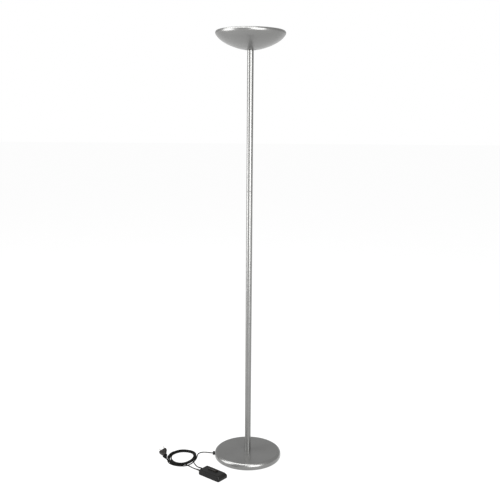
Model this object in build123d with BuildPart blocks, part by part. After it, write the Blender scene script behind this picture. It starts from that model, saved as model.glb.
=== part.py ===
from build123d import *
import os
from math import cos, hypot, pi, radians, sin, tan

# Torchiere floor lamp. Millimetres, +Z up, origin on the floor under the pole's axis.

# ---- driving dimensions ----
total_height = 1790.0

base_radius = 143.0
base_height = 29.3
base_wall = 1.5
base_edge_round = 13.5
base_curl_height = 9.4
base_curl_inset = 5.6
base_gap = 1.0
foot_height = 2.0
plate_thickness = 1.5

weight_radius = 127.0
weight_thickness = 13.5
well_radius = 28.0
well_web = 6.0

pole_radius = 12.7
pole_wall = 1.0
seam_heights = (600.0, 1156.0)
seam_ring_thickness = 0.6
seam_ring_radius = 12.2
insert_length = 14.0
thread_radius = 5.0
thread_bore = 3.8

bowl_radius = 140.0
lip_radius = 8.0
lip_sweep = 45.0
bowl_drop = 67.0
bowl_power = 1.2225
bowl_wall = 1.2
bowl_seat_angle = 82.0
bowl_top = total_height - lip_radius

cord_diameter = 4.4
coil_centre = (-283.3, -30.1)
coil_radii = (54.8, 63.1)
coil_half_width = 9.6
coil_half_height = 7.0

dimmer_centre = (-143.3, -187.1)
dimmer_turn = -39.0
dimmer_length = 112.0
dimmer_width = 59.0
dimmer_split = 13.0
dimmer_height = 24.0
dimmer_corner = 8.0
dimmer_foot = 1.5
dimmer_wall = 2.0
slider_travel = 26.0

plug_rear = (-355.0, -28.0, 4.7)
plug_heading = 112.0
plug_rise = 11.5
plug_roll = 28.0
plug_relief_length = 12.0
plug_body_length = 36.0
plug_width = 35.3
plug_thickness = 13.7
pin_radius = 2.0
pin_length = 19.0
pin_root_radius = 1.5
pin_spacing = 19.0

os.makedirs("parts", exist_ok=True)


def save(builder, name):
    """Names a finished piece and writes its STEP file."""
    builder.part.label = name
    export_step(builder.part, f"parts/{name}.step")


def direction(heading, rise=0.0):
    """Unit vector at a compass heading in the XY plane, raised by an angle."""
    level = cos(radians(rise))
    return Vector(level * cos(radians(heading)), level * sin(radians(heading)), sin(radians(rise)))


def tube(name, points, diameter, largest=1000.0):
    """A cord's tube: straight runs joined by arcs as large as the runs, or the space, allow."""
    corners = [Vector(*p) for p in points]
    runs = [(b - a).length for a, b in zip(corners, corners[1:])]
    radii = []
    for i in range(1, len(corners) - 1):
        turn = (corners[i] - corners[i - 1]).get_angle(corners[i + 1] - corners[i])
        radii.append(min(largest, 0.45 * min(runs[i - 1], runs[i]) / tan(radians(turn / 2))))
    with BuildLine() as route:
        FilletPolyline(*corners, radius=radii)
    with BuildPart() as cord:
        with BuildSketch(Plane(origin=corners[0], z_dir=corners[1] - corners[0])):
            Circle(diameter / 2)
        sweep(path=route.wires()[0])
    length = route.wires()[0].length
    volume = pi * (diameter / 2) ** 2 * length
    print(name, "length", round(length, 1), "radii", [round(r, 1) for r in radii])
    print(name, "volume over section x length", round(cord.part.volume / volume, 4))
    save(cord, name)


# ================= base =================

def base_face(inset):
    """Half of the base's outline, drawn inward by inset: curled foot, wall, rounded edge."""
    outer = base_radius - inset
    top = base_height - inset
    edge = base_edge_round - inset
    start = outer - base_curl_inset
    with BuildSketch(Plane.XZ) as face:
        with BuildLine():
            Line((0, base_gap), (start, base_gap))
            RadiusArc((start, base_gap), (outer, base_curl_height), -9.1)
            Line((outer, base_curl_height), (outer, top - edge))
            RadiusArc((outer, top - edge), (outer - edge, top), -edge)
            Polyline((outer - edge, top), (0, top), (0, base_gap))
        make_face()
    return face.sketch


gland_z = 12.0
gland_hole_radius = 5.0

with BuildPart() as base_cover:
    add(revolve(base_face(0), Axis.Z, mode=Mode.PRIVATE))
    add(revolve(base_face(base_wall), Axis.Z, mode=Mode.PRIVATE), mode=Mode.SUBTRACT)
    with Locations((0, 0, base_height - base_wall / 2)):
        Cylinder(thread_radius, base_wall * 2, mode=Mode.SUBTRACT)
    with BuildSketch(Plane(origin=(-base_radius - 5, 0, gland_z), z_dir=(1, 0, 0))):
        Circle(gland_hole_radius)
    extrude(amount=20, mode=Mode.SUBTRACT)
save(base_cover, "base_cover")

weight_top = base_height - base_wall
with BuildPart() as base_weight:
    with BuildSketch(Plane.XY.offset(weight_top - weight_thickness)):
        Circle(weight_radius)
    extrude(amount=weight_thickness)
    with BuildSketch(Plane.XY.offset(weight_top - weight_thickness)):
        Circle(well_radius)
    extrude(amount=weight_thickness - well_web, mode=Mode.SUBTRACT)
    with BuildSketch(Plane.XY.offset(weight_top - weight_thickness)):
        Circle(thread_radius)
    extrude(amount=weight_thickness, mode=Mode.SUBTRACT)
    fillet(base_weight.faces().sort_by(Axis.Z)[0].outer_wire().edges(), 2)
save(base_weight, "base_weight")

plate_radius = 135.0
plate_screw_circle = 95.0
plate_screw_radius = 1.75
with BuildPart() as base_plate:
    with BuildSketch(Plane.XY.offset(foot_height)):
        Circle(plate_radius)
        with PolarLocations(plate_screw_circle, 3, start_angle=90):
            Circle(plate_screw_radius, mode=Mode.SUBTRACT)
    extrude(amount=plate_thickness)
save(base_plate, "base_plate")

spacer_radius = 5.0
with BuildPart() as base_plate_spacers:
    with BuildSketch(Plane.XY.offset(foot_height + plate_thickness)):
        with PolarLocations(plate_screw_circle, 3, start_angle=90):
            Circle(spacer_radius)
            Circle(plate_screw_radius, mode=Mode.SUBTRACT)
    extrude(amount=weight_top - weight_thickness - foot_height - plate_thickness)
save(base_plate_spacers, "base_plate_spacers")

with BuildPart() as base_plate_screws:
    with BuildSketch(Plane.XY.offset(foot_height)):
        with PolarLocations(plate_screw_circle, 3, start_angle=90):
            Circle(plate_screw_radius)
    extrude(amount=weight_top - weight_thickness - foot_height)
    with BuildSketch(Plane.XY.offset(0.6)):
        with PolarLocations(plate_screw_circle, 3, start_angle=90):
            Circle(3.4)
    extrude(amount=foot_height - 0.6)
save(base_plate_screws, "base_plate_screws")

foot_circle = 118.0
with BuildPart() as base_feet:
    with BuildSketch(Plane.XY):
        with PolarLocations(foot_circle, 6, start_angle=30):
            Circle(9)
    extrude(amount=foot_height)
    chamfer(base_feet.faces().group_by(Axis.Z)[0].edges(), 0.4)
save(base_feet, "base_feet")

washer_bottom = weight_top - well_web - 2
with BuildPart() as base_washer:
    with BuildSketch(Plane.XY.offset(washer_bottom)):
        Circle(13)
        Circle(thread_radius, mode=Mode.SUBTRACT)
    extrude(amount=2)
save(base_washer, "base_washer")

nut_height = 5.0
with BuildPart() as base_nut:
    with BuildSketch(Plane.XY.offset(washer_bottom - nut_height)):
        RegularPolygon(8.5, 6, major_radius=False)
        Circle(thread_radius, mode=Mode.SUBTRACT)
    extrude(amount=nut_height)
save(base_nut, "base_nut")


def threaded_tube(name, spans):
    """Hollow threaded rods on the lamp's axis, one for each (bottom, top) span."""
    with BuildPart() as rod:
        for bottom, top in spans:
            with BuildSketch(Plane.XY.offset(bottom)):
                Circle(thread_radius)
                Circle(thread_bore, mode=Mode.SUBTRACT)
            extrude(amount=top - bottom)
    save(rod, name)


threaded_tube("base_threaded_tube", [(washer_bottom - nut_height - 1.5, base_height + insert_length)])

# Cord gland in the base's side: a block outside, a neck through the wall and a nut inside.
gland_outer = -152.0
with BuildPart() as cord_gland:
    with BuildSketch(Plane(origin=(gland_outer, 0, gland_z), x_dir=(0, 1, 0), z_dir=(1, 0, 0))):
        RectangleRounded(13, 13, 2)
    extrude(amount=-base_radius - gland_outer)
    chamfer(cord_gland.faces().sort_by(Axis.X)[0].outer_wire().edges(), 1)
    with BuildSketch(Plane(origin=(-base_radius, 0, gland_z), z_dir=(1, 0, 0))):
        Circle(gland_hole_radius)
    extrude(amount=8)
    with BuildSketch(Plane(origin=(gland_outer, 0, gland_z), z_dir=(1, 0, 0))):
        Circle(cord_diameter / 2)
    extrude(amount=30, mode=Mode.SUBTRACT)
save(cord_gland, "cord_gland")

gland_nut_start = -base_radius + base_wall + 1.8
with BuildPart() as cord_gland_nut:
    with BuildSketch(Plane(origin=(gland_nut_start, 0, gland_z), z_dir=(1, 0, 0))):
        RegularPolygon(6.8, 6, major_radius=False)
        Circle(gland_hole_radius, mode=Mode.SUBTRACT)
    extrude(amount=4)
save(cord_gland_nut, "cord_gland_nut")

# ================= pole =================

bowl_bottom = bowl_top - bowl_drop * sin(radians(bowl_seat_angle)) ** bowl_power
half_ring = seam_ring_thickness / 2
pole_spans = {
    "pole_lower": (base_height, seam_heights[0] - half_ring),
    "pole_middle": (seam_heights[0] + half_ring, seam_heights[1] - half_ring),
    "pole_upper": (seam_heights[1] + half_ring, bowl_bottom),
}
for name, (bottom, top) in pole_spans.items():
    with BuildPart() as pole:
        with BuildSketch(Plane.XY.offset(bottom)):
            Circle(pole_radius)
            Circle(pole_radius - pole_wall, mode=Mode.SUBTRACT)
        extrude(amount=top - bottom)
        chamfer(pole.faces().group_by(Axis.Z)[0].edges().sort_by(Edge.length)[-1:], 0.35)
        chamfer(pole.faces().group_by(Axis.Z)[-1].edges().sort_by(Edge.length)[-1:], 0.35)
    save(pole, name)

with BuildPart() as pole_inserts:
    for bottom, top in pole_spans.values():
        for start in (bottom, top - insert_length):
            with BuildSketch(Plane.XY.offset(start)):
                Circle(pole_radius - pole_wall)
                Circle(thread_radius, mode=Mode.SUBTRACT)
            extrude(amount=insert_length)
save(pole_inserts, "pole_inserts")

threaded_tube("pole_nipples", [(z - insert_length + 1, z + insert_length - 1) for z in seam_heights])

with BuildPart() as pole_seam_rings:
    for z in seam_heights:
        with BuildSketch(Plane.XY.offset(z - half_ring)):
            Circle(seam_ring_radius)
            Circle(thread_radius, mode=Mode.SUBTRACT)
        extrude(amount=seam_ring_thickness)
save(pole_seam_rings, "pole_seam_rings")

# ================= bowl =================


def bowl_point(angle, inset):
    """A point of the bowl's curve, measured from its widest ring, moved inward by inset."""
    c, s = cos(radians(angle)), sin(radians(angle))
    r = bowl_radius * c ** bowl_power
    z = bowl_top - bowl_drop * s ** bowl_power
    dr = bowl_radius * c ** (bowl_power - 1) * s
    dz = bowl_drop * s ** (bowl_power - 1) * c
    size = hypot(dr, dz)
    return (r - inset * dz / size, z + inset * dr / size)


bowl_angles = [12, 24, 36, 48, 60, 70, 77, bowl_seat_angle]
lip_centre = (bowl_radius - lip_radius, bowl_top)


def lip_point(angle, radius):
    """A point on the rolled rim, measured round the lip's centre."""
    a = radians(angle)
    return (lip_centre[0] + radius * cos(a), lip_centre[1] + radius * sin(a))


with BuildPart() as bowl_shade:
    with BuildSketch(Plane.XZ):
        with BuildLine():
            outside = [(bowl_radius, bowl_top)] + [bowl_point(a, 0) for a in bowl_angles]
            inside = [(bowl_radius - bowl_wall, bowl_top)] + [bowl_point(a, bowl_wall) for a in bowl_angles]
            seat_outer = (thread_radius, outside[-1][1])
            seat_inner = (thread_radius, inside[-1][1])
            Spline(*outside, tangents=[(0, -1), (-1, -0.1)])
            Polyline(outside[-1], seat_outer, seat_inner, inside[-1])
            Spline(*inside, tangents=[(0, -1), (-1, -0.1)])
            lip_in = lip_radius - bowl_wall
            end = 90 + lip_sweep
            ThreePointArc(inside[0], lip_point(end / 2, lip_in), lip_point(end, lip_in))
            Line(lip_point(end, lip_in), lip_point(end, lip_radius))
            ThreePointArc(lip_point(end, lip_radius), lip_point(end / 2, lip_radius), outside[0])
        make_face()
    revolve(axis=Axis.Z)
save(bowl_shade, "bowl_shade")

# ================= lamp head =================

floor_z = bowl_bottom + bowl_wall + 0.1
spacer_height = 10.0
strip_z = floor_z + spacer_height
strip_thickness = 2.0
strip_half = 49.0
strip_width = 22.0
leg_top = strip_z + 22.0
tab_length = 12.0

with BuildPart() as head_spacer:
    with BuildSketch(Plane.XY.offset(floor_z)):
        Circle(9)
        Circle(thread_radius, mode=Mode.SUBTRACT)
    extrude(amount=spacer_height)
save(head_spacer, "head_spacer")

with BuildPart() as lamp_bracket:
    with BuildSketch(Plane.XZ.offset(-strip_width / 2)):
        with BuildLine():
            Polyline(
                (-strip_half - tab_length, leg_top), (-strip_half, leg_top), (-strip_half, strip_z + 1),
                (strip_half, strip_z + 1), (strip_half, leg_top), (strip_half + tab_length, leg_top),
            )
            offset(amount=strip_thickness / 2, kind=Kind.INTERSECTION)
        make_face()
    extrude(amount=strip_width)
    with Locations((0, 0, strip_z + 1)):
        Cylinder(thread_radius, 3 * strip_thickness, mode=Mode.SUBTRACT)
    with Locations((-strip_half - 7, 0, leg_top), (strip_half + 7, 0, leg_top)):
        Cylinder(1.6, 3 * strip_thickness, mode=Mode.SUBTRACT)
save(lamp_bracket, "lamp_bracket")

strip_top = strip_z + strip_thickness
with BuildPart() as head_nut:
    with BuildSketch(Plane.XY.offset(strip_top)):
        RegularPolygon(8.5, 6, major_radius=False)
        Circle(thread_radius, mode=Mode.SUBTRACT)
    extrude(amount=nut_height)
save(head_nut, "head_nut")
threaded_tube("head_nipple", [(bowl_bottom - insert_length + 1, strip_top + nut_height + 1.5)])

dish_z = leg_top + strip_thickness / 2
dish_wall = 0.8
dish_flat = 84.0
dish_rim = 101.0
dish_rise = 26.0
dish_flange = 105.0
lead_holes = ((-30.0, -14.0), (30.0, 14.0))
with BuildPart() as reflector:
    with BuildSketch(Plane.XZ):
        with BuildLine():
            Line((0, dish_z), (dish_flat, dish_z))
            ThreePointArc((dish_flat, dish_z), (96, dish_z + 7), (dish_rim, dish_z + dish_rise))
            Polyline(
                (dish_rim, dish_z + dish_rise), (dish_flange, dish_z + dish_rise),
                (dish_flange, dish_z + dish_rise + dish_wall), (dish_rim - dish_wall, dish_z + dish_rise + dish_wall),
            )
            ThreePointArc(
                (dish_rim - dish_wall, dish_z + dish_rise + dish_wall), (95.3, dish_z + 7.5),
                (dish_flat - 0.2, dish_z + dish_wall),
            )
            Polyline((dish_flat - 0.2, dish_z + dish_wall), (0, dish_z + dish_wall), (0, dish_z))
        make_face()
    revolve(axis=Axis.Z)
    with Locations((-strip_half - 7, 0, dish_z), (strip_half + 7, 0, dish_z)):
        Cylinder(1.6, 3, mode=Mode.SUBTRACT)
    with Locations(*[(x, y, dish_z) for x, y in lead_holes]):
        Cylinder(3, 3, mode=Mode.SUBTRACT)
save(reflector, "reflector")

dish_top = dish_z + dish_wall
axis_z = dish_top + 14.0
holder_inner = 50.0
holder_length = 25.0
holder_width = 18.0
holder_height = 22.0
cup_radius = 6.2
cup_depth = 8.0
plunger_radius = 2.5
plunger_length = 7.0
plunger_nose = 1.8
lamp_half = 57.3
contact_travel = 2.5
for name, side in (("left", -1), ("right", 1)):
    inward = Plane(origin=(side * holder_inner, 0, axis_z), z_dir=(side, 0, 0))
    with BuildPart() as holder:
        with BuildSketch(Plane.XY.offset(dish_top)):
            with Locations((side * (holder_inner + holder_length / 2), 0)):
                RectangleRounded(holder_length, holder_width, 2)
        extrude(amount=holder_height)
        with BuildSketch(inward):
            Circle(cup_radius)
        extrude(amount=cup_depth, mode=Mode.SUBTRACT)
        with BuildSketch(inward):
            Circle(plunger_radius + 0.08)
        extrude(amount=holder_length - 3, mode=Mode.SUBTRACT)
        with BuildSketch(Plane.XY.offset(axis_z)):
            with Locations((side * (holder_inner + cup_depth / 2), 0)):
                Rectangle(cup_depth, 2 * cup_radius)
        extrude(amount=holder_height, mode=Mode.SUBTRACT)
        with BuildSketch(Plane.XY.offset(dish_top)):
            with Locations((side * (strip_half + 7), 0)):
                Circle(1.6)
        extrude(amount=4, mode=Mode.SUBTRACT)
    save(holder, f"lampholder_{name}")

    start = side * (lamp_half + 0.05)
    with BuildPart() as contact:
        with BuildSketch(Plane(origin=(start, 0, axis_z), z_dir=(side, 0, 0))):
            Circle(plunger_nose)
        extrude(amount=1.5)
        with BuildSketch(Plane(origin=(start + side * 1.5, 0, axis_z), z_dir=(side, 0, 0))):
            Circle(plunger_radius)
        extrude(amount=plunger_length - 1.5)
        chamfer(contact.faces().sort_by(Axis.X)[0 if side > 0 else -1].edges(), 0.5)
    save(contact, f"contact_{name}")

    spring_start = lamp_half + 0.05 + plunger_length
    spring_end = holder_inner + holder_length - 3
    with BuildPart() as contact_spring:
        with BuildLine() as coil_line:
            Helix(
                pitch=(spring_end - spring_start - 0.8) / 4, height=spring_end - spring_start - 0.8,
                radius=1.9, center=(side * (spring_start + 0.4), 0, axis_z), direction=(side, 0, 0),
            )
        with BuildSketch(Plane(origin=coil_line.line @ 0, z_dir=coil_line.line % 0)):
            Circle(0.3)
        sweep(path=coil_line.line, is_frenet=True)
    save(contact_spring, f"contact_spring_{name}")

tube_half = 47.0
with BuildPart() as halogen_tube:
    with BuildSketch(Plane(origin=(-tube_half, 0, axis_z), z_dir=(1, 0, 0))):
        Circle(5)
        Circle(4, mode=Mode.SUBTRACT)
    extrude(amount=2 * tube_half)
    for side in (-1, 1):
        with BuildSketch(Plane(origin=(side * tube_half, 0, axis_z), z_dir=(side, 0, 0))):
            Rectangle(6.4, 2.6)
        extrude(amount=5)
        with BuildSketch(Plane(origin=(side * tube_half, 0, axis_z), z_dir=(-side, 0, 0))):
            Circle(5)
        extrude(amount=1)
save(halogen_tube, "halogen_tube")

with BuildPart() as filament:
    with BuildSketch(Plane(origin=(-tube_half + 1, 0, axis_z), z_dir=(1, 0, 0))):
        Circle(0.6)
    extrude(amount=2 * tube_half - 2)
save(filament, "filament")

with BuildPart() as tube_ends:
    for side in (-1, 1):
        with BuildSketch(Plane(origin=(side * (tube_half + 5), 0, axis_z), z_dir=(side, 0, 0))):
            Circle(3.9)
        extrude(amount=lamp_half - tube_half - 5)
save(tube_ends, "tube_ends")

with BuildPart() as holder_screws:
    for side in (-1, 1):
        with BuildSketch(Plane.XY.offset(leg_top - strip_thickness / 2)):
            with Locations((side * (strip_half + 7), 0)):
                Circle(1.6)
        extrude(amount=strip_thickness + dish_wall + 4)
        with BuildSketch(Plane.XY.offset(leg_top - strip_thickness / 2)):
            with Locations((side * (strip_half + 7), 0)):
                Circle(3)
        extrude(amount=-2.2)
save(holder_screws, "holder_screws")

block_x = 28.0
with BuildPart() as terminal_block:
    with BuildSketch(Plane.XY.offset(strip_top)):
        with Locations((block_x, 0)):
            RectangleRounded(18, 19, 1.5)
    extrude(amount=11)
    with BuildSketch(Plane.XY.offset(strip_top + 11)):
        with Locations((block_x - 4, -4.5), (block_x - 4, 4.5), (block_x + 4, -4.5), (block_x + 4, 4.5)):
            Circle(1.8)
    extrude(amount=-4, mode=Mode.SUBTRACT)
save(terminal_block, "terminal_block")

with BuildPart() as terminal_screws:
    with BuildSketch(Plane.XY.offset(strip_top + 7)):
        with Locations((block_x - 4, -4.5), (block_x - 4, 4.5), (block_x + 4, -4.5), (block_x + 4, 4.5)):
            Circle(1.7)
            Rectangle(3, 0.6, mode=Mode.SUBTRACT)
    extrude(amount=2)
save(terminal_screws, "terminal_screws")

# Glass safety shield that lifts off, and the three clips that hold its edge.
glass_radius = 104.8
clip_inner = 105.4
clip_outer = 106.2
glass_z = dish_z + dish_rise + dish_wall
glass_thickness = 3.0
with BuildPart() as glass_shield:
    with BuildSketch(Plane.XY.offset(glass_z)):
        Circle(glass_radius)
    extrude(amount=glass_thickness)
    fillet(glass_shield.edges(), 0.8)
save(glass_shield, "glass_shield")

with BuildPart() as shield_clips:
    for angle in (90, 210, 330):
        out = direction(angle)
        plane = Plane(origin=(0, 0, 0), x_dir=out, z_dir=out.cross(Vector(0, 0, 1)))
        with BuildSketch(plane.offset(-5)):
            with BuildLine():
                under = glass_z - dish_wall
                Polyline(
                    (dish_rim + 0.5, under), (clip_inner, under), (clip_inner, glass_z + 5),
                    (clip_outer, glass_z + 5), (clip_outer, under - 0.8), (dish_rim + 0.5, under - 0.8),
                    (dish_rim + 0.5, under),
                )
            make_face()
        extrude(amount=10)
save(shield_clips, "shield_clips")

# ================= dimmer =================


def dimmer_plane(height):
    """A level plane at the dimmer, with X along its length."""
    return Plane(
        origin=(dimmer_centre[0], dimmer_centre[1], height), x_dir=direction(dimmer_turn), z_dir=(0, 0, 1)
    )


body_x, body_y = 1.5, 0.5
deck_length, deck_width = 101.0, 48.0
deck_x, deck_y = 2.0, -3.5
grommet_across = (10.0, -9.0)
grommet_z = 8.0
grommet_radius = 3.6
grommet_length = 10.5
wall_end = body_x - dimmer_length / 2
shell_radius = dimmer_corner - dimmer_wall
post_radius, screw_radius, screw_head = 3.0, 1.4, 2.8
post_top = dimmer_height - dimmer_wall + 0.5
posts = [(body_x + x, body_y + y) for x in (-42, 42) for y in (-19, 12)]

with BuildPart() as dimmer_base:
    with BuildSketch(dimmer_plane(dimmer_foot)):
        with Locations((body_x, body_y)):
            RectangleRounded(dimmer_length, dimmer_width, dimmer_corner)
    extrude(amount=dimmer_split - dimmer_foot)
    chamfer(dimmer_base.faces().sort_by(Axis.Z)[0].edges(), 1.5)
    with BuildSketch(dimmer_plane(dimmer_foot + dimmer_wall)):
        with Locations((body_x, body_y)):
            RectangleRounded(dimmer_length - 2 * dimmer_wall, dimmer_width - 2 * dimmer_wall, shell_radius)
    extrude(amount=dimmer_split, mode=Mode.SUBTRACT)
    for across in grommet_across:
        centre = dimmer_plane(grommet_z).from_local_coords((wall_end - 2, across, 0))
        with BuildSketch(Plane(origin=centre, z_dir=direction(dimmer_turn))):
            Circle(grommet_radius)
        extrude(amount=6, mode=Mode.SUBTRACT)
    with BuildSketch(dimmer_plane(dimmer_foot + dimmer_wall)):
        with Locations(*posts):
            Circle(post_radius)
    extrude(amount=dimmer_split - dimmer_foot - dimmer_wall)
    with BuildSketch(dimmer_plane(dimmer_foot)):
        with Locations(*posts):
            Circle(screw_radius)
    extrude(amount=dimmer_split, mode=Mode.SUBTRACT)
    with BuildSketch(dimmer_plane(dimmer_foot)):
        with Locations(*posts):
            Circle(screw_head)
    extrude(amount=1.5, mode=Mode.SUBTRACT)
save(dimmer_base, "dimmer_base")

slot_y = 6.0
slot_x = 0.0
stem_length = 6.0
with BuildPart() as dimmer_cover:
    with BuildSketch(dimmer_plane(dimmer_split)):
        with Locations((body_x, body_y)):
            RectangleRounded(dimmer_length, dimmer_width, dimmer_corner)
    with BuildSketch(dimmer_plane(dimmer_height)):
        with Locations((deck_x, deck_y)):
            RectangleRounded(deck_length, deck_width, 6)
    loft()
    with BuildSketch(dimmer_plane(dimmer_split)):
        with Locations((body_x, body_y)):
            RectangleRounded(dimmer_length - 2 * dimmer_wall, dimmer_width - 2 * dimmer_wall, shell_radius)
    with BuildSketch(dimmer_plane(dimmer_height - dimmer_wall)):
        with Locations((deck_x, deck_y)):
            RectangleRounded(deck_length - 2 * dimmer_wall, deck_width - 2 * dimmer_wall, 4)
    loft(mode=Mode.SUBTRACT)
    with BuildSketch(dimmer_plane(dimmer_height)):
        with Locations((deck_x, deck_y)):
            RectangleRounded(deck_length - 3, deck_width - 3, 4.5)
            RectangleRounded(deck_length - 6, deck_width - 6, 3, mode=Mode.SUBTRACT)
    extrude(amount=-0.9, mode=Mode.SUBTRACT)
    with BuildSketch(dimmer_plane(dimmer_height)):
        with Locations((slot_x + slider_travel / 2 - 3, slot_y)):
            Rectangle(slider_travel + stem_length + 1, 4.6)
    extrude(amount=-2 * dimmer_wall, mode=Mode.SUBTRACT)
    with BuildSketch(dimmer_plane(dimmer_split)):
        with Locations(*posts):
            Circle(post_radius)
    extrude(amount=post_top - dimmer_split)
    with BuildSketch(dimmer_plane(dimmer_split)):
        with Locations(*posts):
            Circle(screw_radius)
    extrude(amount=post_top - dimmer_split - 3, mode=Mode.SUBTRACT)
save(dimmer_cover, "dimmer_cover")

knob_length, knob_width, knob_height = 42.0, 15.0, 5.5
knob_x = slot_x - 3
with BuildPart() as dimmer_slider:
    with BuildSketch(dimmer_plane(dimmer_height + 0.3)):
        with Locations((knob_x, slot_y)):
            RectangleRounded(knob_length, knob_width, 3)
    extrude(amount=knob_height)
    chamfer(dimmer_slider.faces().sort_by(Axis.Z)[-1].edges(), 1.2)
    with BuildSketch(dimmer_plane(dimmer_height + 0.3 + knob_height)):
        with Locations(*[(knob_x + i * 3.4, slot_y) for i in range(-5, 6)]):
            Rectangle(1.3, knob_width)
    extrude(amount=-0.9, mode=Mode.SUBTRACT)
    with BuildSketch(dimmer_plane(dimmer_height + 0.3)):
        with Locations((knob_x, slot_y)):
            Rectangle(stem_length, 4)
    extrude(amount=-7)
save(dimmer_slider, "dimmer_slider")

board_z = 6.5
with BuildPart() as dimmer_board:
    with BuildSketch(dimmer_plane(board_z)):
        with Locations((body_x, body_y)):
            Rectangle(74, 46)
    extrude(amount=1.6)
save(dimmer_board, "dimmer_board")

board_top = board_z + 1.6
with BuildPart() as dimmer_potentiometer:
    with BuildSketch(dimmer_plane(board_top)):
        with Locations((slot_x + 8, slot_y)):
            Rectangle(60, 9)
    extrude(amount=9)
save(dimmer_potentiometer, "dimmer_potentiometer")

with BuildPart() as dimmer_choke:
    with BuildSketch(dimmer_plane(board_top)):
        with Locations((body_x - 26, body_y - 13)):
            Circle(8)
            Circle(3.2, mode=Mode.SUBTRACT)
    extrude(amount=8)
    fillet(dimmer_choke.faces().sort_by(Axis.Z)[-1].edges(), 2)
save(dimmer_choke, "dimmer_choke")

with BuildPart() as dimmer_heatsink:
    with BuildSketch(dimmer_plane(board_top)):
        with Locations((body_x + 22, body_y - 13)):
            Rectangle(26, 10)
            with GridLocations(5, 0, 5, 1):
                Rectangle(2.4, 6, mode=Mode.SUBTRACT)
    extrude(amount=10)
save(dimmer_heatsink, "dimmer_heatsink")

with BuildPart() as dimmer_screws:
    with BuildSketch(dimmer_plane(dimmer_foot + 0.1)):
        with Locations(*posts):
            Circle(screw_head)
    extrude(amount=1.4)
    with BuildSketch(dimmer_plane(dimmer_foot + 1.5)):
        with Locations(*posts):
            Circle(screw_radius)
    extrude(amount=post_top - dimmer_foot - 6)
save(dimmer_screws, "dimmer_screws")

with BuildPart() as dimmer_feet:
    with BuildSketch(dimmer_plane(0)):
        with Locations((body_x, body_y)):
            with GridLocations(62, 36, 2, 2):
                Circle(4)
    extrude(amount=dimmer_foot)
save(dimmer_feet, "dimmer_feet")

for name, across in (("dimmer_grommet_lamp", grommet_across[0]), ("dimmer_grommet_mains", grommet_across[1])):
    centre = dimmer_plane(grommet_z).from_local_coords((wall_end + dimmer_wall + 2, across, 0))
    with BuildPart() as grommet:
        with BuildSketch(Plane(origin=centre, z_dir=-direction(dimmer_turn))):
            Circle(grommet_radius)
        extrude(amount=grommet_length + dimmer_wall + 2)
        chamfer(grommet.faces().sort_by(Axis.X)[0].edges(), 0.8)
    save(grommet, name)

# ================= plug =================

plug_axis = direction(plug_heading, plug_rise)
across_level = direction(plug_heading - 90)
plug_across = across_level.rotate(Axis((0, 0, 0), plug_axis), -plug_roll)


def plug_plane(along):
    """The plane square to the plug's axis at a distance from its rear end."""
    return Plane(origin=Vector(*plug_rear) + plug_axis * along, x_dir=plug_across, z_dir=plug_axis)


body_end = plug_relief_length + plug_body_length
with BuildPart() as plug_body:
    with BuildSketch(plug_plane(plug_relief_length)):
        SlotOverall(13, 9.5)
    with BuildSketch(plug_plane(plug_relief_length + 14)):
        SlotOverall(24, 12.5)
    with BuildSketch(plug_plane(body_end - 9)):
        SlotOverall(plug_width, plug_thickness)
    with BuildSketch(plug_plane(body_end)):
        SlotOverall(plug_width, plug_thickness)
    loft(ruled=True)
    with BuildSketch(plug_plane(body_end)):
        with Locations((-pin_spacing / 2, 0), (pin_spacing / 2, 0)):
            Circle(pin_root_radius)
    extrude(amount=-10, mode=Mode.SUBTRACT)
save(plug_body, "plug_body")

with BuildPart() as plug_pins:
    with BuildSketch(plug_plane(body_end)):
        with Locations((-pin_spacing / 2, 0), (pin_spacing / 2, 0)):
            Circle(pin_radius)
    extrude(amount=pin_length)
    with BuildSketch(plug_plane(body_end)):
        with Locations((-pin_spacing / 2, 0), (pin_spacing / 2, 0)):
            Circle(pin_root_radius)
    extrude(amount=-10)
save(plug_pins, "plug_pins")

with BuildPart() as plug_relief:
    with BuildSketch(plug_plane(0)):
        Circle(3.0)
    with BuildSketch(plug_plane(plug_relief_length)):
        Circle(4.4)
    loft()
save(plug_relief, "plug_relief")

# ================= cords =================

# The lead inside the lamp: from the gland, under the weight, up the pole to the terminal block.
tube("lamp_lead", [
    (-152, 0, 12), (-134, 0, 12), (-108, 0, 7.5), (-60, 0.3, 6.2), (0, 0, 6.2), (0, 0, 1743),
    (10.5, 0, 1742), (15, 0, 1735.5), (22, 0, 1735.4),
], cord_diameter, largest=7.0)

# Two heat-proof leads from the terminal block to the lampholders.
wire_diameter = 2.2
tube("holder_lead_right", [
    (28, 9, 1735), (28, 13.5, 1735.5), (30, 14, 1745), (30, 14.5, 1757), (46, 15, 1756), (61, 14.5, 1756), (62, 8, 1756),
], wire_diameter, largest=4.0)
tube("holder_lead_left", [
    (28, -9, 1735), (27, -14, 1734.5), (0, -15, 1734), (-26, -14.5, 1735.5), (-30, -14, 1745), (-30, -14.5, 1757),
    (-46, -15, 1756), (-61, -14.5, 1756), (-62, -8, 1756),
], wire_diameter, largest=4.0)

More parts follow.
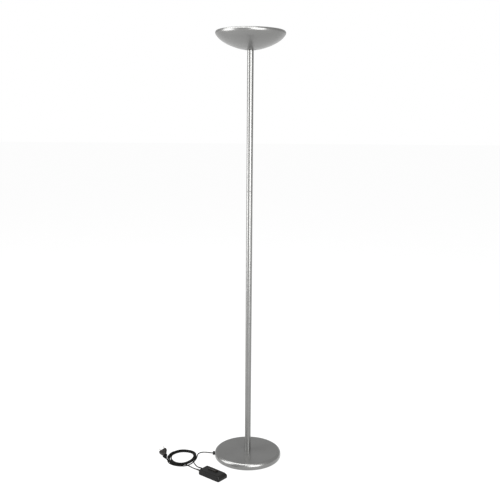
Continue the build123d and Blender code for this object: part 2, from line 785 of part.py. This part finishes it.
# The free cord, in four stretches and a wound coil.
tube("cord_from_lamp", [
    (-152, 0, 12), (-161, 0.2, 12.4), (-174, 4, 12.2), (-189, 8, 11.2), (-203, 7.5, 10.2), (-215, 0.5, 10),
    (-224, -10.5, 10), (-229, -23, 10),
], cord_diameter)
tube("cord_to_dimmer", [
    (-229.5, -40, 10), (-231.5, -55, 9.6), (-232, -72, 7.6), (-225.9, -86.2, 5), (-217.9, -101.2, 2.9),
    (-208.5, -116.2, 3.4), (-196.8, -130.9, 7.6), (-187.5, -138.4, 8),
], cord_diameter)
tube("cord_from_dimmer", [
    (-199.5, -153.2, 8), (-208.8, -145.7, 7.6), (-220, -132, 4), (-233.5, -118.5, 2.9), (-248, -108, 5.5),
    (-263.5, -101.5, 9), (-280, -96, 9.5), (-295, -93.5, 9),
], cord_diameter)
tube("cord_to_plug", [
    (-330.5, -72, 6.5), (-337.5, -62, 4.5), (-344.5, -50.5, 2.7), (-350.8, -38.5, 2.45), (-355, -28, 4.7),
], cord_diameter)

with BuildPart() as cord_coil:
    ring = Edge.make_ellipse(*coil_radii, plane=Plane(origin=(*coil_centre, coil_half_height + 0.1)))
    with BuildSketch(Plane(origin=ring @ 0, x_dir=(1, 0, 0), z_dir=ring % 0)):
        Ellipse(coil_half_width, coil_half_height)
    sweep(path=ring)
save(cord_coil, "cord_coil")
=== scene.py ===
from math import cos, exp, pi, radians, sin, sqrt

import bpy
from mathutils import Matrix, Vector


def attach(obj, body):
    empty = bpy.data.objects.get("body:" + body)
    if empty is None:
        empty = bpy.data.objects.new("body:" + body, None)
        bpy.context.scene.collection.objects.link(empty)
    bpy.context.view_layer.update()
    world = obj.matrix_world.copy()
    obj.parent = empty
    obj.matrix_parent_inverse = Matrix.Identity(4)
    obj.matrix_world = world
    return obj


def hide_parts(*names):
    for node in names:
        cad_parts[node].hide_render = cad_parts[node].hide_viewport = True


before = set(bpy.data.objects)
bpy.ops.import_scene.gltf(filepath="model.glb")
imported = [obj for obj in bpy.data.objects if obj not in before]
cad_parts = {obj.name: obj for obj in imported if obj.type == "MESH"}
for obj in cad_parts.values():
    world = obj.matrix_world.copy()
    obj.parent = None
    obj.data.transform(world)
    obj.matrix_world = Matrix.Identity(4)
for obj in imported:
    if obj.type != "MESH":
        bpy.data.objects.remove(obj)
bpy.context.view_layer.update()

bpy.ops.object.select_all(action="DESELECT")

# ---- studio ----
# A bare studio: a broad overhead softbox, two tall light panels, one to the left and one in
# front to the right, and a camera on a stand a little over chest height.
bpy.ops.object.camera_add()
camera = bpy.context.object
sensor_width = 36.0
lens_over_sensor = 712.7035 / 500.0
camera.data.sensor_width = sensor_width
camera.data.lens = sensor_width * lens_over_sensor
camera.data.clip_end = 200.0
camera.matrix_world = (
    Matrix.Translation((0.00383, -2.91702, 1.41573))
    @ Matrix.Rotation(radians(80.214), 4, "X")
    @ Matrix.Rotation(0.0075, 4, "Z")
)
bpy.context.scene.camera = camera
bpy.context.scene.view_settings.view_transform = "Standard"

for name, place, aim, size, power in (
    ("overhead_softbox", (-1.0, -0.9, 4.3), (-0.1, 0.0, 0.0), (5.2, 1.9), 215.0),
    ("left_panel", (-3.1, -0.75, 1.75), (0.0, 0.0, 1.55), (2.2, 3.4), 130.0),
    ("right_panel", (1.35, -3.0, 1.75), (0.0, 0.0, 1.55), (2.6, 3.4), 185.0),
):
    aimed = (Vector(aim) - Vector(place)).to_track_quat("-Z", "Y").to_euler()
    bpy.ops.object.light_add(type="AREA", location=place, rotation=aimed)
    light = bpy.context.object
    light.name = name
    light.data.shape = "RECTANGLE"
    light.data.size, light.data.size_y = size
    light.data.energy = power

world = bpy.data.worlds.new("studio_air")
bpy.context.scene.world = world
world.use_nodes = True
air = world.node_tree.nodes["Background"]
air.inputs["Color"].default_value = (1.0, 1.0, 1.0, 1.0)
path = world.node_tree.nodes.new("ShaderNodeLightPath")
strength = world.node_tree.nodes.new("ShaderNodeMapRange")
air_on_the_lamp, air_behind_the_lamp = 0.56, 1.0
strength.inputs["To Min"].default_value = air_on_the_lamp
strength.inputs["To Max"].default_value = air_behind_the_lamp
world.node_tree.links.new(path.outputs["Is Camera Ray"], strength.inputs["Value"])
world.node_tree.links.new(strength.outputs["Result"], air.inputs["Strength"])


# ---- base ----
# A pressed steel cover over a cast weight, finished in silver lacquer with fine metal flake
# under a satin clear coat. A fibre board closes it below, on six rubber feet.
def surface_grain_group():
    """Fine grain, soft handling patches and a little bump, for every material."""
    group = bpy.data.node_groups.new("surface_grain", "ShaderNodeTree")
    for name, kind in (
        ("Place", "NodeSocketVector"), ("Grain Scale", "NodeSocketFloat"),
        ("Patch Scale", "NodeSocketFloat"), ("Colour", "NodeSocketColor"),
        ("Worn Colour", "NodeSocketColor"), ("Wear", "NodeSocketFloat"),
        ("Smooth", "NodeSocketFloat"), ("Rough", "NodeSocketFloat"),
        ("Bump", "NodeSocketFloat"),
    ):
        group.interface.new_socket(name, in_out="INPUT", socket_type=kind)
    for name, kind in (
        ("Colour", "NodeSocketColor"), ("Roughness", "NodeSocketFloat"),
        ("Normal", "NodeSocketVector"),
    ):
        group.interface.new_socket(name, in_out="OUTPUT", socket_type=kind)
    nodes, link = group.nodes, group.links.new
    given, out = nodes.new("NodeGroupInput"), nodes.new("NodeGroupOutput")
    grain, patch = nodes.new("ShaderNodeTexNoise"), nodes.new("ShaderNodeTexNoise")
    grain.inputs["Detail"].default_value = 3.0
    patch.inputs["Detail"].default_value = 5.0
    link(given.outputs["Place"], grain.inputs["Vector"])
    link(given.outputs["Place"], patch.inputs["Vector"])
    link(given.outputs["Grain Scale"], grain.inputs["Scale"])
    link(given.outputs["Patch Scale"], patch.inputs["Scale"])
    both = nodes.new("ShaderNodeMath")
    both.operation = "MULTIPLY_ADD"
    link(grain.outputs["Fac"], both.inputs[0])
    both.inputs[1].default_value = 0.5
    half = nodes.new("ShaderNodeMath")
    half.operation = "MULTIPLY"
    half.inputs[1].default_value = 0.5
    link(patch.outputs["Fac"], half.inputs[0])
    link(half.outputs[0], both.inputs[2])
    level = nodes.new("ShaderNodeMapRange")
    level.inputs["From Min"].default_value = 0.38
    level.inputs["From Max"].default_value = 0.62
    link(both.outputs[0], level.inputs["Value"])
    worn = nodes.new("ShaderNodeMath")
    worn.operation = "MULTIPLY"
    link(level.outputs["Result"], worn.inputs[0])
    link(given.outputs["Wear"], worn.inputs[1])
    mixed = nodes.new("ShaderNodeMix")
    mixed.data_type = "RGBA"
    link(worn.outputs[0], mixed.inputs["Factor"])
    link(given.outputs["Colour"], mixed.inputs[6])
    link(given.outputs["Worn Colour"], mixed.inputs[7])
    link(mixed.outputs[2], out.inputs["Colour"])
    rough = nodes.new("ShaderNodeMapRange")
    rough.inputs["From Min"].default_value = 0.35
    rough.inputs["From Max"].default_value = 0.65
    link(both.outputs[0], rough.inputs["Value"])
    link(given.outputs["Smooth"], rough.inputs["To Min"])
    link(given.outputs["Rough"], rough.inputs["To Max"])
    link(rough.outputs["Result"], out.inputs["Roughness"])
    relief = nodes.new("ShaderNodeBump")
    relief.inputs["Distance"].default_value = 0.0004
    link(given.outputs["Bump"], relief.inputs["Strength"])
    link(grain.outputs["Fac"], relief.inputs["Height"])
    link(relief.outputs["Normal"], out.inputs["Normal"])
    return group


surface_grain = surface_grain_group()
usual_wear = 0.6


def finish_of(name, colour, worn, rough, grain, patch, bump, **fixed):
    """A material from the grain group; rough is (least, most), fixed are plain shader values."""
    material = bpy.data.materials.new(name)
    material.use_nodes = True
    nodes, link = material.node_tree.nodes, material.node_tree.links.new
    shader = nodes["Principled BSDF"]
    place = nodes.new("ShaderNodeTexCoord")
    effect = nodes.new("ShaderNodeGroup")
    effect.node_tree = surface_grain
    link(place.outputs["Object"], effect.inputs["Place"])
    effect.inputs["Grain Scale"].default_value = grain
    effect.inputs["Patch Scale"].default_value = patch
    effect.inputs["Colour"].default_value = (*colour, 1.0)
    effect.inputs["Worn Colour"].default_value = (*worn, 1.0)
    effect.inputs["Wear"].default_value = usual_wear
    effect.inputs["Smooth"].default_value, effect.inputs["Rough"].default_value = rough
    effect.inputs["Bump"].default_value = bump
    link(effect.outputs["Colour"], shader.inputs["Base Color"])
    link(effect.outputs["Roughness"], shader.inputs["Roughness"])
    link(effect.outputs["Normal"], shader.inputs["Normal"])
    for socket, value in fixed.items():
        shader.inputs[socket.replace("_", " ")].default_value = value
    return material


def give(material, *names):
    """Puts a material on CAD nodes."""
    for name in names:
        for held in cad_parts[name].material_slots:
            held.material = material


silver_lacquer = finish_of(
    "silver_lacquer", (0.182, 0.182, 0.178), (0.232, 0.232, 0.228), (0.27, 0.34), 2600, 9, 0.05,
    Metallic=0.85, Coat_Weight=0.25, Coat_Roughness=0.14,
)
cast_iron = finish_of(
    "cast_iron", (0.10, 0.10, 0.10), (0.17, 0.15, 0.13), (0.6, 0.85), 420, 25, 0.8, Metallic=0.4,
)
fibre_board = finish_of(
    "fibre_board", (0.035, 0.035, 0.034), (0.06, 0.058, 0.055), (0.75, 0.95), 900, 30, 0.5,
)
zinc_plate = finish_of(
    "zinc_plate", (0.58, 0.58, 0.56), (0.66, 0.65, 0.60), (0.22, 0.42), 700, 45, 0.12, Metallic=1.0,
)
foot_rubber = finish_of(
    "foot_rubber", (0.02, 0.02, 0.02), (0.045, 0.043, 0.04), (0.7, 0.9), 1500, 60, 0.3,
)
black_nylon = finish_of(
    "black_nylon", (0.006, 0.006, 0.006), (0.015, 0.015, 0.015), (0.38, 0.55), 2200, 80, 0.25,
    Specular_IOR_Level=0.3,
)
give(silver_lacquer, "base_cover")
give(cast_iron, "base_weight")
give(fibre_board, "base_plate")
give(
    zinc_plate, "base_plate_spacers", "base_plate_screws", "base_threaded_tube", "base_washer",
    "base_nut",
)
give(foot_rubber, "base_feet")
give(black_nylon, "cord_gland", "cord_gland_nut")

# ---- pole ----
# Three lengths of drawn steel tube in the same lacquer, screwed together on threaded nipples.
# A thin dark ring sits in each seam.
give(silver_lacquer, "pole_lower", "pole_middle", "pole_upper")
give(zinc_plate, "pole_inserts", "pole_nipples")
give(black_nylon, "pole_seam_rings")

# ---- bowl ----
# One spun steel shell with its edge rolled over, lacquered inside and out. The spacer, nipple
# and nut clamp it between the pole and the bracket.
give(silver_lacquer, "bowl_shade")
give(zinc_plate, "head_spacer", "head_nipple", "head_nut")

# ---- lamp head ----
# A bent steel bracket carries a hammered aluminium dish and two steatite lampholders with
# sprung contacts, for a quartz halogen tube under a clear safety glass.
bright_aluminium = finish_of(
    "bright_aluminium", (0.76, 0.76, 0.77), (0.84, 0.84, 0.85), (0.16, 0.34), 190, 30, 0.5, Metallic=1.0,
)
steatite = finish_of(
    "steatite", (0.78, 0.75, 0.68), (0.86, 0.84, 0.79), (0.5, 0.72), 1400, 70, 0.3,
)
nickel = finish_of(
    "nickel", (0.62, 0.61, 0.58), (0.70, 0.68, 0.63), (0.14, 0.30), 1600, 140, 0.08, Metallic=1.0,
)
spring_steel = finish_of(
    "spring_steel", (0.42, 0.42, 0.42), (0.50, 0.49, 0.47), (0.25, 0.40), 1300, 120, 0.1, Metallic=1.0,
)
tungsten = finish_of(
    "tungsten", (0.20, 0.19, 0.18), (0.30, 0.28, 0.25), (0.35, 0.55), 3000, 300, 0.4, Metallic=1.0,
)
white_nylon = finish_of(
    "white_nylon", (0.76, 0.76, 0.72), (0.84, 0.84, 0.80), (0.4, 0.55), 1600, 120, 0.15,
)
turned_brass = finish_of(
    "turned_brass", (0.66, 0.50, 0.22), (0.74, 0.60, 0.32), (0.18, 0.34), 2400, 260, 0.1, Metallic=1.0,
)
glass_sleeve = finish_of(
    "glass_sleeve", (0.72, 0.69, 0.60), (0.84, 0.82, 0.76), (0.75, 0.92), 2600, 160, 0.6,
)
quartz = finish_of(
    "quartz", (0.93, 0.95, 0.96), (0.98, 0.99, 1.0), (0.02, 0.08), 240, 60, 0.02,
    Transmission_Weight=1.0, IOR=1.46,
)
clear_glass = finish_of(
    "clear_glass", (0.90, 0.94, 0.92), (0.96, 0.98, 0.97), (0.01, 0.06), 120, 18, 0.02,
    Transmission_Weight=1.0, IOR=1.47,
)
give(zinc_plate, "lamp_bracket", "holder_screws")
give(bright_aluminium, "reflector")
give(steatite, "lampholder_left", "lampholder_right", "tube_ends")
give(nickel, "contact_left", "contact_right")
give(spring_steel, "contact_spring_left", "contact_spring_right", "shield_clips")
give(quartz, "halogen_tube")
give(tungsten, "filament")
give(white_nylon, "terminal_block")
give(turned_brass, "terminal_screws")
give(clear_glass, "glass_shield")
give(glass_sleeve, "holder_lead_left", "holder_lead_right")

# ---- foot dimmer ----
# A two-part moulded case with a recessed line round its deck and a broad ribbed slider. It
# holds a circuit board with a slide potentiometer, a choke and a heat sink.
case_plastic = finish_of(
    "case_plastic", (0.004, 0.004, 0.004), (0.010, 0.010, 0.009), (0.26, 0.40), 1900, 45, 0.22,
    Specular_IOR_Level=0.16,
)
slider_plastic = finish_of(
    "slider_plastic", (0.006, 0.005, 0.004), (0.014, 0.012, 0.010), (0.26, 0.40), 1900, 60, 0.15,
    Specular_IOR_Level=0.3,
)
solder_mask = finish_of(
    "solder_mask", (0.06, 0.17, 0.05), (0.10, 0.24, 0.08), (0.25, 0.45), 700, 90, 0.3,
)
copper_winding = finish_of(
    "copper_winding", (0.50, 0.22, 0.09), (0.64, 0.34, 0.16), (0.22, 0.40), 500, 160, 0.5, Metallic=0.9,
)
give(case_plastic, "dimmer_base", "dimmer_cover")
give(slider_plastic, "dimmer_slider")
give(solder_mask, "dimmer_board")
give(zinc_plate, "dimmer_potentiometer", "dimmer_screws")
give(copper_winding, "dimmer_choke")
give(bright_aluminium, "dimmer_heatsink")
give(foot_rubber, "dimmer_feet")

# ---- plug ----
# A flat moulded plug with two round nickel-plated pins, satin from its mould.
plug_plastic = finish_of(
    "plug_plastic", (0.006, 0.005, 0.004), (0.016, 0.014, 0.012), (0.28, 0.44), 1700, 70, 0.2,
    Specular_IOR_Level=0.22,
)
give(plug_plastic, "plug_body")
give(nickel, "plug_pins")

# ---- cords ----
# A two-core cord in a soft black sheath, 4.4 mm across. One length runs from the base to the
# dimmer and one from the dimmer to the plug, and both are wound into the same loose coil.
cord_sheath = finish_of(
    "cord_sheath", (0.003, 0.003, 0.003), (0.008, 0.008, 0.007), (0.45, 0.62), 1500, 55, 0.25,
    Specular_IOR_Level=0.06,
)
give(cord_sheath, "lamp_lead")
cord_width = 0.0044
coil_middle = Vector((-0.2833, -0.0301, 0.0))
coil_reach = (0.0548, 0.0631)
turn_step = 20.0
lamp_cord_start, lamp_cord_steps = 14, 73
spread = 1.02
across_the_coil = {
    "floor_in": (-4.5, 2.3), "floor_mid": (0.0, 2.3), "floor_out": (4.5, 2.3),
    "mid_out": (4.5, 6.6), "mid_mid": (0.0, 6.6), "mid_in": (-4.5, 6.6),
    "top_in": (-2.3, 10.4), "top_out": (2.3, 10.4),
}


def near(heading, middle, width):
    """1 at one heading round the coil, falling away on both sides of it."""
    return exp(-(((heading - middle + 180) % 360 - 180) / width) ** 2)


def coil_point(heading, out, up, wave):
    """A point of a turn: out and up are in millimetres from the middle of the bundle."""
    loose = 1.0 + 0.42 * near(heading, -140, 55) - 0.28 * near(heading, -50, 26)
    inner_gap = 0.6 * min(0.0, out) * near(heading, -163, 20)
    out = out * loose + 0.5 * sin(radians(3 * heading) + 2.1 * wave) + inner_gap
    out += 7.5 * near(heading, 40, 22) - 6.0 * near(heading, -45, 26)
    if up > 9:
        up = 6.6 + sqrt(max(4.4 ** 2 - (2.3 * loose) ** 2, 6.0))
    reach_x = coil_reach[0] - 0.0016 * near(heading, 0, 40)
    reach_y = coil_reach[1] - 0.0010 * near(heading, -90, 40)
    x, y = spread * reach_x * cos(radians(heading)), spread * reach_y * sin(radians(heading))
    way = Vector((cos(radians(heading)) / reach_x, sin(radians(heading)) / reach_y, 0.0)).normalized()
    return coil_middle + Vector((x, y, up / 1000)) + way * (out / 1000)


def wind(start, end, places, changes, strayed):
    """Clockwise turns from one heading to another, moving on a place at each change."""
    count = round((start - end) / turn_step)
    points = []
    for i in range(count + 1):
        heading = start + (end - start) * i / count
        moved = sum(min(1.0, max(0.0, (c + 25 - heading) / 50)) for c in changes)
        moved = min(moved, len(places) - 1)
        first = int(moved)
        last = min(first + 1, len(places) - 1)
        part = moved - first
        part = part * part * (3 - 2 * part)
        (out_a, up_a), (out_b, up_b) = across_the_coil[places[first]], across_the_coil[places[last]]
        side = 2.2 * sin(pi * part) * (1 if out_a > 0 else -1) if out_a == out_b else 0.0
        out = out_a + (out_b - out_a) * part + side + strayed(heading)
        points.append(coil_point(heading, out, up_a + (up_b - up_a) * part, moved))
    return points


def lay_cord(name, points):
    """One smooth cord along a route."""
    line = bpy.data.curves.new(name, "CURVE")
    line.dimensions = "3D"
    spline = line.splines.new("NURBS")
    spline.points.add(len(points) - 1)
    for held, point in zip(spline.points, points):
        held.co = (*point, 1.0)
    spline.order_u = 4
    spline.use_endpoint_u = True
    line.resolution_u = 6
    line.bevel_depth = cord_width / 2
    line.bevel_resolution = 3
    line.use_fill_caps = True
    line.materials.append(cord_sheath)
    piece = bpy.data.objects.new(name, line)
    bpy.context.scene.collection.objects.link(piece)
    return piece


def strain_relief(name, foot, way, roll, lengths, width, height, tip, replaced):
    """A moulded sleeve that tapers along the cord: a plain neck, then ribs with grooves between."""
    neck, rib, groove, ribs = lengths
    step = 0.0003
    bpy.ops.object.select_all(action="DESELECT")
    bpy.ops.mesh.primitive_cylinder_add(vertices=28, radius=width / 2, depth=neck)
    piece = bpy.context.object
    piece.name = name
    bpy.context.tool_settings.mesh_select_mode = (False, False, True)
    for face in piece.data.polygons:
        face.select = face.normal.z > 0.9
    bpy.ops.object.mode_set(mode="EDIT")
    size = 1.0
    for i in range(ribs):
        aimed = 1.0 + (tip - 1.0) * (i + 1) / ribs
        for along, wanted in (
            (step, aimed * 0.86), (groove, aimed * 0.84), (step, aimed), (rib, aimed * 0.98),
        ):
            bpy.ops.mesh.extrude_region_move(TRANSFORM_OT_translate={"value": (0.0, 0.0, along)})
            bpy.ops.transform.resize(value=(wanted / size, wanted / size, 1.0))
            size = wanted
    bpy.ops.mesh.select_all(action="SELECT")
    bpy.ops.transform.translate(value=(0.0, 0.0, neck / 2))
    bpy.ops.transform.resize(
        value=(1.0, height / width, 1.0), center_override=(0.0, 0.0, 0.0),
    )
    bpy.ops.mesh.normals_make_consistent(inside=False)
    bpy.ops.object.mode_set(mode="OBJECT")
    turned = Vector(way).to_track_quat("Z", "Y").to_matrix().to_4x4()
    piece.matrix_world = Matrix.Translation(foot) @ turned @ Matrix.Rotation(radians(roll), 4, "Z")
    bpy.ops.object.transform_apply(location=True, rotation=True, scale=True)
    bpy.ops.object.shade_smooth_by_angle(angle=radians(35))
    piece.data.materials.clear()
    piece.data.materials.append(cord_sheath)
    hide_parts(replaced)
    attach(piece, "lamp")
    return piece


def outer_turn(heading):
    """The first turn lies outside the bundle until the other cord has left it."""
    held_out = min(1.0, max(0.0, (heading + 172) / 22))
    return held_out * (4.4 + 14.2 * exp(-((heading + 56) / 24) ** 2))


def no_stray(heading):
    return 0.0


lamp_cord = lay_cord("lamp_cord", [
    (-0.152, 0.0, 0.012), (-0.161, 0.0002, 0.0124), (-0.174, 0.004, 0.0122), (-0.1889, 0.0094, 0.0112),
    (-0.2045, 0.0102, 0.0094), (-0.2143, 0.0039, 0.0078), (-0.2189, -0.0037, 0.0047),
] + wind(
    lamp_cord_start, lamp_cord_start - turn_step * lamp_cord_steps,
    ["floor_out", "floor_mid", "floor_in", "mid_in", "top_in"],
    [165 - 360 * turn for turn in range(1, 5)], outer_turn,
) + [
    (-0.2315, -0.055, 0.0096), (-0.232, -0.072, 0.0076), (-0.2259, -0.0862, 0.005),
    (-0.2179, -0.1012, 0.0029), (-0.2085, -0.1162, 0.0034), (-0.1968, -0.1309, 0.0076),
    (-0.1875, -0.1384, 0.008),
])
mains_cord = lay_cord("mains_cord", [
    (-0.1995, -0.1532, 0.008), (-0.2088, -0.1457, 0.0076), (-0.22, -0.132, 0.004),
    (-0.2335, -0.1185, 0.0029), (-0.248, -0.108, 0.0055), (-0.2635, -0.1015, 0.009),
] + wind(
    -95, -135 - 360 * 3, ["top_out", "mid_mid", "mid_out", "floor_out"],
    [135 - 360, 165 - 720, 165 - 1080], no_stray,
) + [
    (-0.3375, -0.062, 0.0045), (-0.3445, -0.0505, 0.0027), (-0.3508, -0.0385, 0.00245),
    (-0.355, -0.028, 0.0047),
])
for cord in (lamp_cord, mains_cord):
    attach(cord, "lamp")
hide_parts("cord_from_lamp", "cord_to_dimmer", "cord_coil")
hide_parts("cord_from_dimmer", "cord_to_plug")

lamp_relief = strain_relief(
    "lamp_relief", (-0.17894, -0.14532, 0.008), (-0.7771, 0.6293, 0.0), 0.0,
    (0.0065, 0.0016, 0.0012, 6), 0.0072, 0.0072, 0.68, "dimmer_grommet_lamp",
)
mains_relief = strain_relief(
    "mains_relief", (-0.19094, -0.16012, 0.008), (-0.7771, 0.6293, 0.0), 0.0,
    (0.0065, 0.0016, 0.0012, 6), 0.0072, 0.0072, 0.68, "dimmer_grommet_mains",
)
plug_boot = strain_relief(
    "plug_boot", (-0.3598, -0.0163, 0.0074), (0.367, -0.913, -0.178), 28.0,
    (0.0045, 0.0019, 0.0012, 5), 0.0208, 0.0104, 0.40, "plug_relief",
)

# ---- floor ----
# The studio's own floor, which isn't part of the lamp: matt white board, laid flat and lit
# evenly all the way to the back.
bpy.ops.mesh.primitive_plane_add(size=120.0)
floor = bpy.context.object
floor.name = "studio_floor"
floor.data.materials.append(finish_of(
    "studio_floor", (0.10, 0.10, 0.10), (0.11, 0.11, 0.11), (0.85, 0.95), 300, 2, 0.0,
    Emission_Color=(1.0, 1.0, 1.0, 1.0), Emission_Strength=0.92, Specular_IOR_Level=0.0,
))
